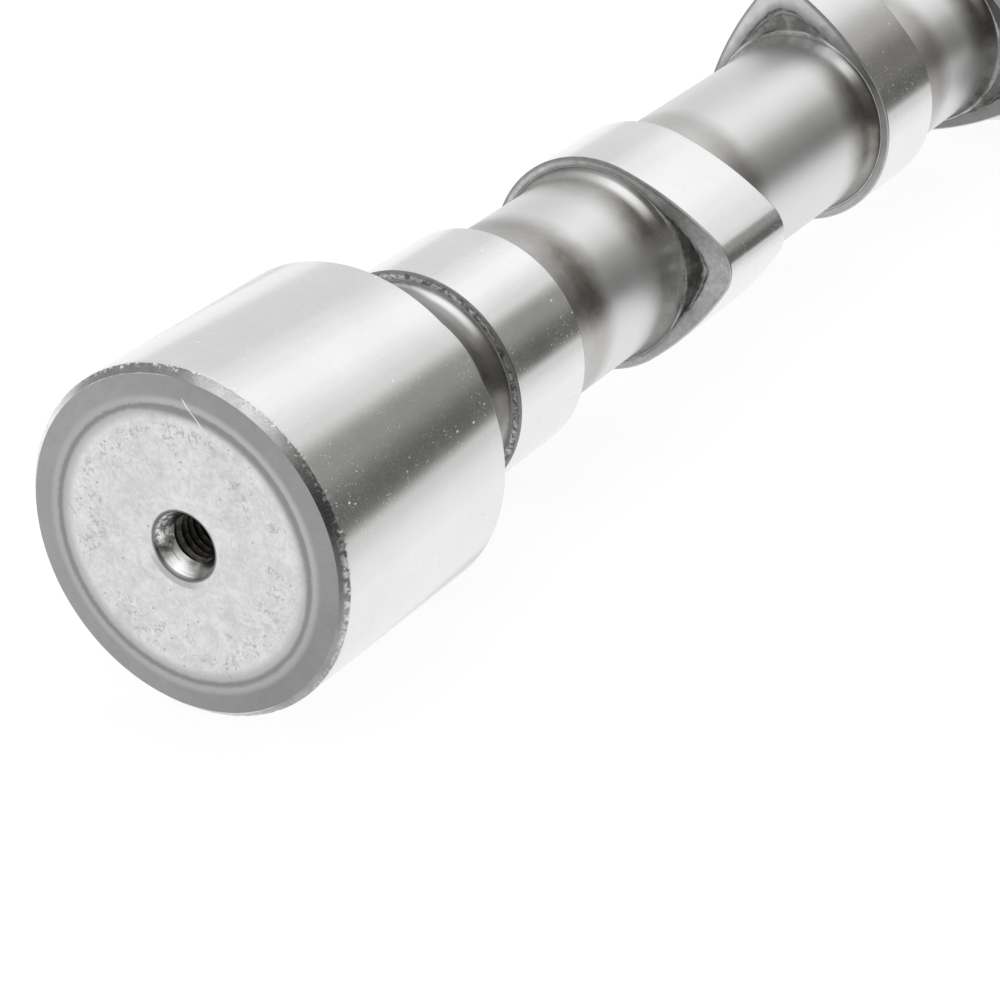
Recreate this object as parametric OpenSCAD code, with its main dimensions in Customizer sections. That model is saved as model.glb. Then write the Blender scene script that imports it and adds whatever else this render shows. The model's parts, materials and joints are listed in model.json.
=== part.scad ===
// Camshaft of a four-cylinder overhead-valve engine: three bearing journals of one size, eight cam
// lobes in pairs, a forged shaft between them, and a keyed gear seat.
// The shaft lies along +Y, from its plain rear end to its gear end. +Z is up.
// The origin is on the axis, at the middle of the rear journal.

/* [Bearing journals] */
// Diameter of the three bearing journals
journal_d = 50; // [48:0.5:60]
// Length of the rear journal
rear_journal_w = 40; // [30:0.5:50]
// Length of the middle journal
middle_journal_w = 32; // [24:0.5:40]
// Length of the front journal
front_journal_w = 36; // [24:0.5:50]
// Edge break on the journals
journal_edge = 0.5; // [0.3:0.1:1]
// Lead-in chamfer of the rear end, along the shaft
lead_in_l = 1.5; // [0.8:0.1:3]
// Lead-in chamfer of the rear end, across the shaft
lead_in_h = 0.9; // [0.5:0.1:1.5]
// Fillet between a journal's side and the shaft
journal_fillet = 6; // [4.5:0.5:7]

/* [Spacing] */
// Distance from one cylinder's pair of lobes to the next
cylinder_pitch = 124; // [116:1:140]
// Distance between the two lobes of a cylinder, middle to middle
lobe_pitch = 51.5; // [42:0.5:58]
// Gap between an end journal and the lobe beside it
journal_gap = 16.5; // [13:0.5:24]

/* [Cam lobes] */
// Width of a lobe
lobe_w = 18.5; // [14:0.5:22]
// Diameter of the base circle
base_d = 35; // [34:0.5:38]
// Lift of the follower at the nose
lift = 7; // [5:0.1:7.4]
// Radius of the nose
nose_r = 5.8; // [4.5:0.1:7]
// Radius of the convex flanks
flank_r = 53; // [44:1:80]
// Plain rim around a lobe's hollow side, at the base circle
rim_base = 1.4; // [1.2:0.1:1.8]
// Plain rim around a lobe's hollow side, at the nose
rim_nose = 4.1; // [3:0.1:4.6]
// Depth of the hollow in a lobe's side
hollow_depth = 1; // [0.4:0.1:2]

/* [Timing] */
// Cylinders in the order in which they fire
firing_order = [1, 3, 4, 2]; // a list of the four cylinders
// Angle of the fourth cylinder's exhaust nose, from +X towards +Z
set_angle = 10.8; // [-180:0.1:180]
// Angle from an exhaust nose back to the same cylinder's inlet nose
lobe_separation = 114; // [100:0.5:122]

/* [Shaft] */
// Diameter of the plain shaft between the lobes
shaft_d = 30; // [27:0.5:31]
// Radius of the sweep where the shaft rises to a lobe
lobe_sweep = 10; // [6:0.5:12]

/* [Rear end] */
// Diameter of the shallow turned recess in the end face
recess_d = 39.4; // [30:0.2:42]
// Depth of the recess
recess_depth = 0.3; // [0.2:0.05:1]
// Diameter of the protecting chamfer around the centre hole
guard_d = 12.1; // [11:0.1:16]
// Diameter of the 60 degree centre
centre_d = 9.8; // [8.5:0.1:10.8]
// Tapping diameter of the rear thread (M8)
rear_tap_d = 6.8; // [5:0.1:8]
// Full depth of the rear tapped hole
rear_tap_l = 22; // [12:0.5:34]

/* [Gear end] */
// Diameter of the seat for the thrust plate
thrust_seat_d = 36; // [33:0.5:44]
// Length of the seat for the thrust plate
thrust_seat_w = 6.2; // [4:0.1:10]
// Diameter of the gear seat
gear_seat_d = 28; // [26:0.5:32]
// Length of the gear seat
gear_seat_w = 30; // [26:0.5:44]
// Chamfer on the gear end
gear_end_edge = 1.5; // [0.5:0.1:2]
// Width of the keyway
key_w = 8; // [5:0.5:10]
// Depth of the keyway below the gear seat
key_h = 4; // [2:0.1:5]
// Length of the keyway, over its round ends
key_l = 20; // [14:0.5:22]
// Tapping diameter of the front thread (M12)
front_tap_d = 10.2; // [8:0.1:11]
// Full depth of the front tapped hole
front_tap_l = 32; // [20:0.5:40]
// Diameter of the front countersink
front_sink_d = 13; // [11.5:0.1:14]

/* [Hidden] */
$fn = 96;

cylinders = 4;
journal_r = journal_d / 2;
base_r = base_d / 2;
shaft_r = shaft_d / 2;
land_r = base_r - rim_base;          // where the shaft's sweep meets a lobe's side
core_r = base_r - 0.5;               // where the sweep ends inside the lobe
foot_h = 0.7 * journal_fillet;       // how far up its side a journal's fillet reaches
ease = 0.005;                        // arcs cross by this much where they would only touch

// Stations along the shaft, from the rear end face
first_lobe = rear_journal_w + journal_gap + lobe_w / 2;
middle_journal_s = (pair_s(1) + pair_s(2)) / 2 - middle_journal_w / 2;
front_journal_s = pair_s(3) + lobe_pitch / 2 + lobe_w / 2 + journal_gap;
thrust_face_s = front_journal_s + front_journal_w;
gear_seat_s = thrust_face_s + thrust_seat_w;
length = gear_seat_s + gear_seat_w;

function pair_s(k) = first_lobe + lobe_pitch / 2 + k * cylinder_pitch;
// The pairs lie as mirror images of their neighbours, so like lobes come side by side
function inlet_s(k) = pair_s(k) + (k % 2 == 0 ? -1 : 1) * lobe_pitch / 2;
function exhaust_s(k) = pair_s(k) - (k % 2 == 0 ? -1 : 1) * lobe_pitch / 2;

// The shaft turns a quarter turn from one firing to the next
function turn_of(cylinder) = search(cylinder, firing_order)[0];
function exhaust_angle(k) = set_angle + 90 * (turn_of(cylinders) - turn_of(cylinders - k));
function inlet_angle(k) = exhaust_angle(k) - lobe_separation;

// Length along the shaft of an arc of radius r that rises by h from the shaft
function run_of(r, h) = sqrt(r * r - (r - h) * (r - h));

// Cam outline of four kinds of arc: base circle, two flanks and nose, tangent to each other.
// The nose points along +X.
module cam_outline(base, reach, nose, flank) {
    d = reach - nose;
    a = flank - base;
    b = flank - nose;
    x = (a * a - b * b + d * d) / (2 * d);
    y = sqrt(a * a - x * x);
    to_base = [-x, y] / a;
    to_nose = [d - x, y] / b;
    circle(r = base);
    translate([d, 0]) circle(r = nose);
    for (side = [0, 1]) mirror([0, side]) intersection() {
        translate([x, -y]) circle(r = flank - ease);
        polygon([[0, 0], 1.6 * base * to_base, [d, 0] + (nose + 0.6 * base) * to_nose, [d, 0]]);
    }
}

// One lobe, centred on its width, with a hollow forged into each side
module lobe() {
    difference() {
        translate([0, 0, -lobe_w / 2]) linear_extrude(lobe_w)
            cam_outline(base_r, base_r + lift, nose_r, flank_r);
        for (side = [0, 1]) mirror([0, 0, side])
            translate([0, 0, lobe_w / 2 - hollow_depth]) linear_extrude(hollow_depth + 1)
                cam_outline(land_r - 0.2, base_r + lift - rim_nose, nose_r - 0.8, flank_r - 8);
    }
}

// Half outline of a journal from station s, with broken edges
module journal_half(s, w, rear_h, rear_l) {
    polygon([[0, s], [journal_r - rear_h, s], [journal_r, s + rear_l], [journal_r, s + w - journal_edge],
        [journal_r - journal_edge, s + w], [0, s + w]]);
}

// Foot of a journal's fillet, rising from the shaft to the journal's side at station s
module fillet_foot(s, way) {
    run = run_of(journal_fillet, foot_h);
    translate([0, s]) scale([1, way]) difference() {
        translate([0, -0.5]) square([shaft_r + foot_h + 0.5, run + 0.5]);
        translate([shaft_r + journal_fillet - ease, run]) circle(r = journal_fillet);
    }
}

// What is turned away between stations s0 and s1. At an end beside a lobe the shaft rises in a
// sweep that runs on into the lobe, and beside a journal the cut runs straight on.
module waist(s0, at_lobe0, s1, at_lobe1) {
    run = run_of(lobe_sweep, land_r - shaft_r);
    s2 = at_lobe0 ? s0 + run : s0 - 1;
    s3 = at_lobe1 ? s1 - run : s1 + 1;
    translate([shaft_r, s2]) square([journal_r, s3 - s2]);
    if (at_lobe0) translate([shaft_r + lobe_sweep - ease, s2]) circle(r = lobe_sweep);
    if (at_lobe1) translate([shaft_r + lobe_sweep - ease, s3]) circle(r = lobe_sweep);
}

// The turned body: half outline with the radius along X and the station along Y
module body_half() {
    lobes = [for (k = [0 : cylinders - 1]) for (side = [-1, 1]) pair_s(k) + side * lobe_pitch / 2];
    half = lobe_w / 2;
    middle_end = middle_journal_s + middle_journal_w;
    difference() {
        translate([0, rear_journal_w / 2]) square([core_r, thrust_face_s - rear_journal_w]);
        waist(rear_journal_w, false, lobes[0] - half, true);
        for (i = [0, 1, 2, 4, 5, 6]) waist(lobes[i] + half, true, lobes[i + 1] - half, true);
        waist(lobes[3] + half, true, middle_journal_s, false);
        waist(middle_end, false, lobes[4] - half, true);
        waist(lobes[7] + half, true, front_journal_s, false);
    }
    journal_half(0, rear_journal_w, lead_in_h, lead_in_l);
    journal_half(middle_journal_s, middle_journal_w, journal_edge, journal_edge);
    journal_half(front_journal_s, front_journal_w, journal_edge, journal_edge);
    fillet_foot(rear_journal_w, 1);
    fillet_foot(middle_journal_s, -1);
    fillet_foot(middle_end, 1);
    fillet_foot(front_journal_s, -1);
}

// Seats for the thrust plate and the gear, beyond the thrust face
module gear_end_half() {
    gear_r = gear_seat_d / 2;
    translate([0, thrust_face_s - 1]) square([thrust_seat_d / 2, thrust_seat_w + 1]);
    polygon([[0, gear_seat_s - 1], [gear_r, gear_seat_s - 1], [gear_r, length - gear_end_edge],
        [gear_r - gear_end_edge, length], [0, length]]);
}

// Tapped hole drilled down from height 0: drill point, bore, 60 degree sink and a flatter guard chamfer
module centre_hole(tap_d, tap_l, sink_d, guard_d, guard_l) {
    tap_r = tap_d / 2;
    sink_l = (sink_d - tap_d) / 2 / tan(30);
    rotate_extrude() polygon([[0, 1], [0, -tap_l - tap_r * tan(31)], [tap_r, -tap_l], [tap_r, -guard_l - sink_l],
        [sink_d / 2, -guard_l], [guard_d / 2, 0], [guard_d / 2, 1]]);
}

// Keyway with round ends, cut into the gear seat on the side that the first cylinder's inlet nose points to
module keyway() {
    middle_s = gear_seat_s + (gear_seat_w - gear_end_edge) / 2;
    reach = (key_l - key_w) / 2;
    rotate([0, 0, 90 - inlet_angle(cylinders - 1)]) translate([0, key_h - gear_seat_d / 2, middle_s])
        rotate([90, 0, 0]) linear_extrude(gear_seat_d / 2) {
            square([key_w, 2 * reach], center = true);
            for (side = [-1, 1]) translate([0, side * reach]) circle(d = key_w);
        }
}

module camshaft() {
    guard_depth = (guard_d - centre_d) / 2 * tan(30);
    color("silver") translate([0, -rear_journal_w / 2, 0]) rotate([-90, 0, 0]) difference() {
        union() {
            rotate_extrude() {
                body_half();
                gear_end_half();
            }
            for (k = [0 : cylinders - 1]) {
                translate([0, 0, inlet_s(k)]) rotate([0, 0, -inlet_angle(k)]) lobe();
                translate([0, 0, exhaust_s(k)]) rotate([0, 0, -exhaust_angle(k)]) lobe();
            }
        }
        translate([0, 0, -1]) cylinder(d = recess_d, h = recess_depth + 1);
        translate([0, 0, recess_depth]) rotate([180, 0, 0])
            centre_hole(rear_tap_d, rear_tap_l, centre_d, guard_d, guard_depth);
        translate([0, 0, length]) centre_hole(front_tap_d, front_tap_l, front_sink_d, front_sink_d + 1, 0.3);
        keyway();
    }
}

camshaft();
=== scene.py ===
import json
import math

import bmesh
import bpy
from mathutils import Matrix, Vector, noise


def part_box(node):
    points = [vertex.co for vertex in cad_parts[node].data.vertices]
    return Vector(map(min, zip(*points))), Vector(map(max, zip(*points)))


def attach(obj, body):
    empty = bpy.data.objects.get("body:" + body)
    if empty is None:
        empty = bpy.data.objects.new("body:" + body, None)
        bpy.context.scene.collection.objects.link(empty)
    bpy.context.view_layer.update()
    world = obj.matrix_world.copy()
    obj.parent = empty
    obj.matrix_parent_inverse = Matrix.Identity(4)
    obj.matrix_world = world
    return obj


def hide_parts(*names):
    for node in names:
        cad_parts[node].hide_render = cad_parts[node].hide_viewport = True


# The camshaft lies along +Y with its plain rear end nearest to -Y. Stations and radii are in
# millimetres: a station is measured from the rear end face, a radius from the axis.
# Angles round the axis run from +X towards +Z.
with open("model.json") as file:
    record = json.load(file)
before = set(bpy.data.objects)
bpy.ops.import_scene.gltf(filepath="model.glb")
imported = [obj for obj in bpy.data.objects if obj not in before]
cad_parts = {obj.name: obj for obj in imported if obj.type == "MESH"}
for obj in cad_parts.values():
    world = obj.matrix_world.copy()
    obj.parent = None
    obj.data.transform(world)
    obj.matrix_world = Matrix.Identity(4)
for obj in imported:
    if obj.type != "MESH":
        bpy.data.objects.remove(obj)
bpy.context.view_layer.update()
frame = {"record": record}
MM = 0.001
cad_low, cad_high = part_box("camshaft")
mounts = {mount["name"]: mount for mount in frame["record"]["mounts"]}


def radius_of(name):
    """Radius that the record states for a mount."""
    return mounts[name]["dims"]["r_mm"]


# Sizes that the frame gives
REAR_END_Y = cad_low.y / MM
LENGTH = (cad_high.y - cad_low.y) / MM
JOURNAL_R = radius_of("journal_rear")
THRUST_R = radius_of("thrust_seat")
GEAR_R = radius_of("gear_seat")
REAR_TAP_R = radius_of("thread_rear")
FRONT_TAP_R = radius_of("thread_front")

# Journals
REAR_JOURNAL_W = 40.0
MIDDLE_JOURNAL_W = 32.0
FRONT_JOURNAL_W = 36.0
JOURNAL_EDGE = 0.5
LEAD_IN_L = 1.5
JOURNAL_FILLET = 6.0
FILLET_RISE = 0.7 * JOURNAL_FILLET

# Lobes. The rim is the flat strip between a side's hollow and the outline, given on the base
# circle and at the nose. The sweep is the curve from the shaft up to the hollow.
CYLINDERS = 4
CYLINDER_PITCH = 124.0
LOBE_PITCH = 51.5
JOURNAL_GAP = 16.5
LOBE_W = 18.5
BASE_R = 17.5
LIFT = 7.0
NOSE_R = 5.8
FLANK_R = 53.0
RIM_BASE = 1.4
RIM_NOSE = 4.1
HOLLOW_DEPTH = 1.0
LOBE_EDGE = 0.3
SWEEP_R = 10.0
SHAFT_R = 15.0

# Timing, in degrees. The set angle is that of the exhaust nose of the rear pair.
FIRING_ORDER = (1, 3, 4, 2)
SET_ANGLE = 10.8
LOBE_SEPARATION = 114.0

# Rear end. The guard is the shallow sink round the centre hole.
RECESS_R = 19.7
RECESS_DEPTH = 0.3
RECESS_EDGE_W = 1.9
LAND_EDGE_R = 23.97
LAND_DROP = 0.33
GUARD_R = 6.05
GUARD_L = 0.12
CENTRE_R = 4.9
REAR_TAP_L = 22.0
REAR_THREAD_R = 4.0
REAR_THREAD_L = 17.0
REAR_PITCH = 1.25

# Marks seen on the rear end face: the slant of its brushing in degrees, and the ends of a
# scratch as (x, z)
BRUSH_SLANT = 17.0
SCRATCH_ENDS = ((1.2, 21.4), (3.8, 17.9))

# Gear end
THRUST_W = 6.2
GEAR_END_EDGE = 1.5
FRONT_TAP_L = 32.0
FRONT_SINK_R = 6.5
FRONT_GUARD_L = 0.3
FRONT_THREAD_R = 6.0
FRONT_THREAD_L = 27.0
FRONT_PITCH = 1.75
KEY_W = 8.0
KEY_H = 4.0
KEY_L = 20.0

# Threads. How far behind the cone a ridge starts and its half widths are in pitches.
THREAD_STEPS = 48
THREAD_START = 0.8
RIDGE_FOOT = 0.44
RIDGE_CREST = 0.07
THREAD_RUN_OUT = 0.6
THREAD_SUNK = 0.12

# How finely the steel is divided
COLUMNS = 256
FINE_CUTS = 2
SWEEP_STEPS = 4
FILLET_STEPS = 6
SHARP_EDGE = math.radians(18)

# Seeds of the uneven hollows: the step from lobe to lobe, and from a lobe's rear side to its front
LOBE_SEED = 5.0
FRONT_SIDE_SEED = 40

# Stations over which the finish changes from one lobe to another
PAST_FIRST = (80, 100)
TO_THIRD = (140, 165)
TO_FOURTH = (215, 235)

# Finishes of the steel, in the order of its material slots
FINISHES = (
    "bore", "centre", "recess", "lead_in", "ground", "lead_out", "neck", "shaft",
    "hollow", "wall", "rim", "lobe_edge", "cam", "turned", "key",
)

# A distance that counts as touching, and one that counts as out of reach
TOUCH = 0.01
FAR = 100.0

# Slope of a drill's point, and half the angle of a centre hole's cone
DRILL_POINT = math.radians(31)
CONE = math.radians(30)

# What follows from the sizes above
LAND_R = BASE_R - RIM_BASE
CREST_R = LAND_R - 0.15
FIRST_PAIR = REAR_JOURNAL_W + JOURNAL_GAP + LOBE_W / 2 + LOBE_PITCH / 2
LAST_PAIR = FIRST_PAIR + (CYLINDERS - 1) * CYLINDER_PITCH
FRONT_JOURNAL_S = LAST_PAIR + (LOBE_PITCH + LOBE_W) / 2 + JOURNAL_GAP
THRUST_S = FRONT_JOURNAL_S + FRONT_JOURNAL_W
GEAR_S = THRUST_S + THRUST_W


def pair_station(k):
    """Station of the middle of the k-th pair of lobes from the rear."""
    return FIRST_PAIR + k * CYLINDER_PITCH


MIDDLE_JOURNAL_S = (pair_station(1) + pair_station(2) - MIDDLE_JOURNAL_W) / 2


def exhaust_angle(k):
    """Nose angle of the exhaust lobe of the k-th pair from the rear."""
    turn = FIRING_ORDER.index(CYLINDERS) - FIRING_ORDER.index(CYLINDERS - k)
    return math.radians(SET_ANGLE + 90 * turn)


def inlet_angle(k):
    """Nose angle of the inlet lobe of the k-th pair from the rear."""
    return exhaust_angle(k) - math.radians(LOBE_SEPARATION)


def lobe_places():
    """Station and nose angle of each lobe, from the rear."""
    found = []
    for k in range(CYLINDERS):
        pair = [(-LOBE_PITCH / 2, inlet_angle(k)), (LOBE_PITCH / 2, exhaust_angle(k))]
        if k % 2:
            pair = [(-LOBE_PITCH / 2, exhaust_angle(k)), (LOBE_PITCH / 2, inlet_angle(k))]
        found += [(pair_station(k) + offset, angle) for offset, angle in pair]
    return found


LOBES = lobe_places()


# Outline of a cam

def cam_radius(angle, base, reach, nose, flank):
    """Radius of a cam of four kinds of arc, at an angle from its nose."""
    angle = abs((angle + math.pi) % (2 * math.pi) - math.pi)
    d = reach - nose
    a = flank - base
    b = flank - nose
    x = (a * a - b * b + d * d) / (2 * d)
    y = math.sqrt(a * a - x * x)
    if angle >= math.atan2(y, -x):
        return base
    if angle <= math.atan2(nose * y / b, d + nose * (d - x) / b):
        return d * math.cos(angle) + math.sqrt(nose ** 2 - (d * math.sin(angle)) ** 2)
    along = x * math.cos(angle) - y * math.sin(angle)
    return along + math.sqrt(along ** 2 + flank ** 2 - a ** 2)


def outline_radius(angle, nose):
    """Radius of a lobe's outline."""
    return cam_radius(angle - nose, BASE_R, BASE_R + LIFT, NOSE_R, FLANK_R)


def rough(angle, scale, seed):
    """Noise from -1 to 1 that closes on itself round the axis."""
    return noise.noise(Vector((scale * math.cos(angle), scale * math.sin(angle), seed)))


def blend(low, high, value):
    """0 below low, 1 above high, and smooth between."""
    t = min(1.0, max(0.0, (value - low) / (high - low)))
    return t * t * (3 - 2 * t)


# The steel's rings. Each ring is (where it runs, the finish of the strip up to the next ring),
# and "where it runs" gives radius and station at an angle.

def steady(radius, station, finish):
    """A ring with one radius at one station."""
    return (lambda angle: (radius, station)), finish


def rounded(corners):
    """Rings through corners (radius, station, rounding, finish). A rounding is made as an arc."""
    steps = 2
    made = []
    for i, (radius, station, rounding, finish) in enumerate(corners):
        here = Vector((radius, station))
        if not rounding:
            made.append(steady(radius, station, finish))
            continue
        before = Vector(corners[i - 1][:2]) - here
        after = Vector(corners[i + 1][:2]) - here
        half = before.angle(after) / 2
        # The arc takes less than half of either edge beside it
        reach = min(rounding / math.tan(half), 0.45 * before.length, 0.45 * after.length)
        rounding = reach * math.tan(half)
        inwards = (before.normalized() + after.normalized()).normalized()
        centre = here + inwards * (rounding / math.sin(half))
        first = here + before.normalized() * reach - centre
        last = here + after.normalized() * reach - centre
        for step in range(steps + 1):
            spoke = first.lerp(last, step / steps).normalized() * rounding
            made.append(steady(centre.x + spoke.x, centre.y + spoke.y, finish))
    return made


def cone_end(tap_r, sink_r, guard_l):
    """Depth at which the cone of a centre hole meets its bore."""
    return guard_l + (sink_r - tap_r) / math.tan(CONE)


def hole(tap_r, tap_l, thread_r, thread_l, sink_r, guard_r, guard_l, start, way):
    """Corners of a tapped hole, from its drill point out to its mouth at station start."""
    def at(depth):
        return start + way * depth
    cone_l = cone_end(tap_r, sink_r, guard_l)
    return [
        (0.0, at(tap_l + tap_r * math.tan(DRILL_POINT)), 0, "bore"),
        (tap_r, at(tap_l), 0, "bore"),
        (tap_r, at(thread_l + 2 * THREAD_RUN_OUT), 0, "bore"),
        (thread_r, at(thread_l + THREAD_RUN_OUT), 0, "bore"),
        (thread_r, at(cone_l + 0.4), 0, "bore"),
        (tap_r + 0.04, at(cone_l), 0, "centre"),
        (sink_r, at(guard_l), 0.12, "recess"),
        (guard_r, at(0), 0.15, "recess"),
    ]


def recess_edge():
    """Soft step between the recess and the land around it."""
    made = []
    steps = 5
    for i in range(steps + 1):
        part = i / steps
        radius = RECESS_R + (part - 0.5) * RECESS_EDGE_W
        made.append(steady(radius, RECESS_DEPTH * (1 - blend(0, 1, part)), "recess"))
    return made


def nicked(radius, station, finish, dent, drift, seed):
    """A ring of the worn rear edge: dented towards the axis and drifting along the shaft."""
    def runs(angle):
        worn = 0.7 + 0.9 * rough(angle, 2.2, seed + 20)
        knock = max(0.0, rough(angle, 26, seed) + 0.55 * rough(angle, 70, seed + 3) - 0.12)
        wander = rough(angle, 34, seed + 7) + 0.6 * rough(angle, 80, seed + 11)
        return radius - dent * worn * knock, station + drift * worn * wander
    return runs, finish


def rear_edge():
    """Outer part of the rear land, which falls back a little, and the lead-in with its nicked edge."""
    def on_lead_in(part):
        radius = LAND_EDGE_R + part * (JOURNAL_R - LAND_EDGE_R)
        return radius, LAND_DROP + part * (LEAD_IN_L - LAND_DROP)
    return [
        steady(LAND_EDGE_R - 1.4, 0.42 * LAND_DROP, "recess"),
        steady(LAND_EDGE_R - 0.14, 0.93 * LAND_DROP, "recess"),
        steady(LAND_EDGE_R - 0.03, LAND_DROP, "lead_in"),
        steady(*on_lead_in(0.06), "lead_in"),
        steady(*on_lead_in(0.55), "lead_in"),
        nicked(*on_lead_in(0.80), "lead_in", 0.08, 0.04, 2.0),
        nicked(*on_lead_in(0.93), "lead_in", 0.26, 0.15, 3.0),
        nicked(JOURNAL_R - 0.035, LEAD_IN_L, "ground", 0.26, 0.15, 3.0),
        nicked(JOURNAL_R - 0.01, LEAD_IN_L + 0.11, "ground", 0.20, 0.15, 3.0),
        nicked(JOURNAL_R, LEAD_IN_L + 0.4, "ground", 0.06, 0.12, 3.0),
        steady(JOURNAL_R, LEAD_IN_L + 1.0, "ground"),
        steady(JOURNAL_R, LEAD_IN_L + 1.4, "ground"),
    ]


def fillet(station, way, finish):
    """Rings of the fillet at a journal's side, from the side down to the shaft where way is 1."""
    start = math.acos(1 - FILLET_RISE / JOURNAL_FILLET)
    run = JOURNAL_FILLET * math.sin(start)
    made = []
    for i in range(FILLET_STEPS + 1):
        turn = start * (1 - i / FILLET_STEPS)
        radius = SHAFT_R + JOURNAL_FILLET * (1 - math.cos(turn))
        made.append(steady(radius, station + way * (run - JOURNAL_FILLET * math.sin(turn)), finish))
    return made if way > 0 else made[::-1]


def journal(station, width):
    """Rings of a journal, without the fillets at its sides."""
    far = station + width
    inner = JOURNAL_R - JOURNAL_EDGE
    body = rounded([
        (SHAFT_R + FILLET_RISE, station, 0, "neck"),
        (inner, station, 0.2, "lead_out"),
        (JOURNAL_R, station + JOURNAL_EDGE, 0.2, "ground"),
        (JOURNAL_R, far - JOURNAL_EDGE, 0.2, "lead_out"),
        (inner, far, 0.2, "neck"),
        (SHAFT_R + FILLET_RISE, far, 0, "neck"),
    ])
    return body[1:-1]


def next_lobe(station):
    """Distance to the rear side of the next lobe, in mm, and the angle of its nose."""
    sides = [(middle - LOBE_W / 2 - station, nose) for middle, nose in LOBES]
    return min([side for side in sides if side[0] > -TOUCH], default=(FAR, 0.0))


def last_lobe(station):
    """Distance from the front side of the lobe before it, in mm."""
    sides = [station - middle - LOBE_W / 2 for middle, nose in LOBES]
    return min([side for side in sides if side > -TOUCH], default=FAR)


def hollow_radius(angle, nose, seed):
    """Where the forged hollow of a lobe's side ends below its rim, with its uneven edge."""
    reach = BASE_R + LIFT - RIM_NOSE
    plain = cam_radius(angle - nose, LAND_R - 0.2, reach, NOSE_R - 0.8, FLANK_R - 8)
    plain = max(plain, LAND_R + 0.14)
    uneven = 0.26 * rough(angle, 9, seed) + 0.18 * rough(angle, 24, seed + 5)
    return plain + uneven * blend(-0.3, 1.2, plain - LAND_R)


def rim_place(radius, station, angle):
    """How far a point on a lobe's side is outside its hollow, and how far inside the outline."""
    for i, (middle, nose) in enumerate(LOBES):
        if abs(station - middle) < LOBE_W / 2 + TOUCH:
            seed = LOBE_SEED * i + (FRONT_SIDE_SEED if station > middle else 0)
            outside = radius - hollow_radius(angle, nose, seed)
            return outside, outline_radius(angle, nose) - radius
    return FAR, FAR


def lobe_side(middle, nose, way, seed):
    """Rings of a lobe's side from the shaft out to its edge. way is -1 on the side facing the rear."""
    plane = middle + way * LOBE_W / 2
    made = []

    # The sweep from the shaft up to the crest beside the hollow
    end = math.acos(1 - (CREST_R - SHAFT_R) / SWEEP_R)
    run = SWEEP_R * math.sin(end)
    for i in range(SWEEP_STEPS + 1):
        turn = end * i / SWEEP_STEPS
        radius = SHAFT_R + SWEEP_R * (1 - math.cos(turn))
        station = plane + way * (run - SWEEP_R * math.sin(turn))
        made.append(steady(radius, station, "shaft" if i < SWEEP_STEPS else "hollow"))

    def depth(angle):
        wide = hollow_radius(angle, nose, seed) - LAND_R
        return HOLLOW_DEPTH * (0.1 + 0.9 * blend(0.3, 2.2, wide))

    # The hollow is a trough: (how far across it, how deep, finish)
    trough_rings = (
        (0.07, 0.5, "hollow"), (0.22, 0.95, "hollow"), (0.5, 1.0, "hollow"), (0.67, 0.9, "wall"),
        (0.78, 0.6, "wall"), (0.88, 0.52, "wall"), (1.0, 0.06, "rim"),
    )
    for across, deep, finish in trough_rings:
        def trough(angle, across=across, deep=deep):
            wide = hollow_radius(angle, nose, seed) - CREST_R
            lumps = 1 + 0.2 * rough(angle, 30, seed + 9 * across)
            return CREST_R + across * wide, plane - way * depth(angle) * deep * lumps
        made.append((trough, finish))

    # The flat rim and the broken edge round it
    made.append((lambda angle: (hollow_radius(angle, nose, seed) + 0.14, plane), "rim"))
    for inset, drop in ((LOBE_EDGE, 0.0), (0.29 * LOBE_EDGE, 0.29 * LOBE_EDGE), (0.0, LOBE_EDGE)):
        def edge(angle, inset=inset, drop=drop):
            return outline_radius(angle, nose) - inset, plane - way * drop
        made.append((edge, "lobe_edge" if inset else "cam"))
    return made


def lobe(middle, nose, seed):
    """Rings of a whole lobe, from the rear to the front."""
    rear = lobe_side(middle, nose, -1, seed)
    front = lobe_side(middle, nose, 1, seed + FRONT_SIDE_SEED)
    # A strip takes the finish of the ring before it, so the finishes of the far side move by one
    finishes = [ring[1] for ring in front]
    turned = [(ring[0], finishes[i - 1] if i else "shaft") for i, ring in enumerate(front)]
    return rear + turned[::-1]


def gear_end():
    """Rings from the thrust face to the bottom of the front tapped hole."""
    mouth = hole(FRONT_TAP_R, FRONT_TAP_L, FRONT_THREAD_R, FRONT_THREAD_L, FRONT_SINK_R,
                 FRONT_SINK_R + 0.5, FRONT_GUARD_L, LENGTH, -1)[::-1]
    finishes = ["turned", "centre"] + 6 * ["bore"]
    inwards = [corner[:3] + (finish,) for corner, finish in zip(mouth, finishes)]
    return rounded([
        (JOURNAL_R - JOURNAL_EDGE, THRUST_S, 0, "turned"),
        (THRUST_R, THRUST_S, 0.4, "ground"),
        (THRUST_R, GEAR_S, 0.25, "turned"),
        (GEAR_R, GEAR_S, 0.5, "ground"),
        (GEAR_R, LENGTH - GEAR_END_EDGE, 0.15, "turned"),
        (GEAR_R - GEAR_END_EDGE, LENGTH, 0.15, "turned"),
    ] + inwards)[1:]


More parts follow.
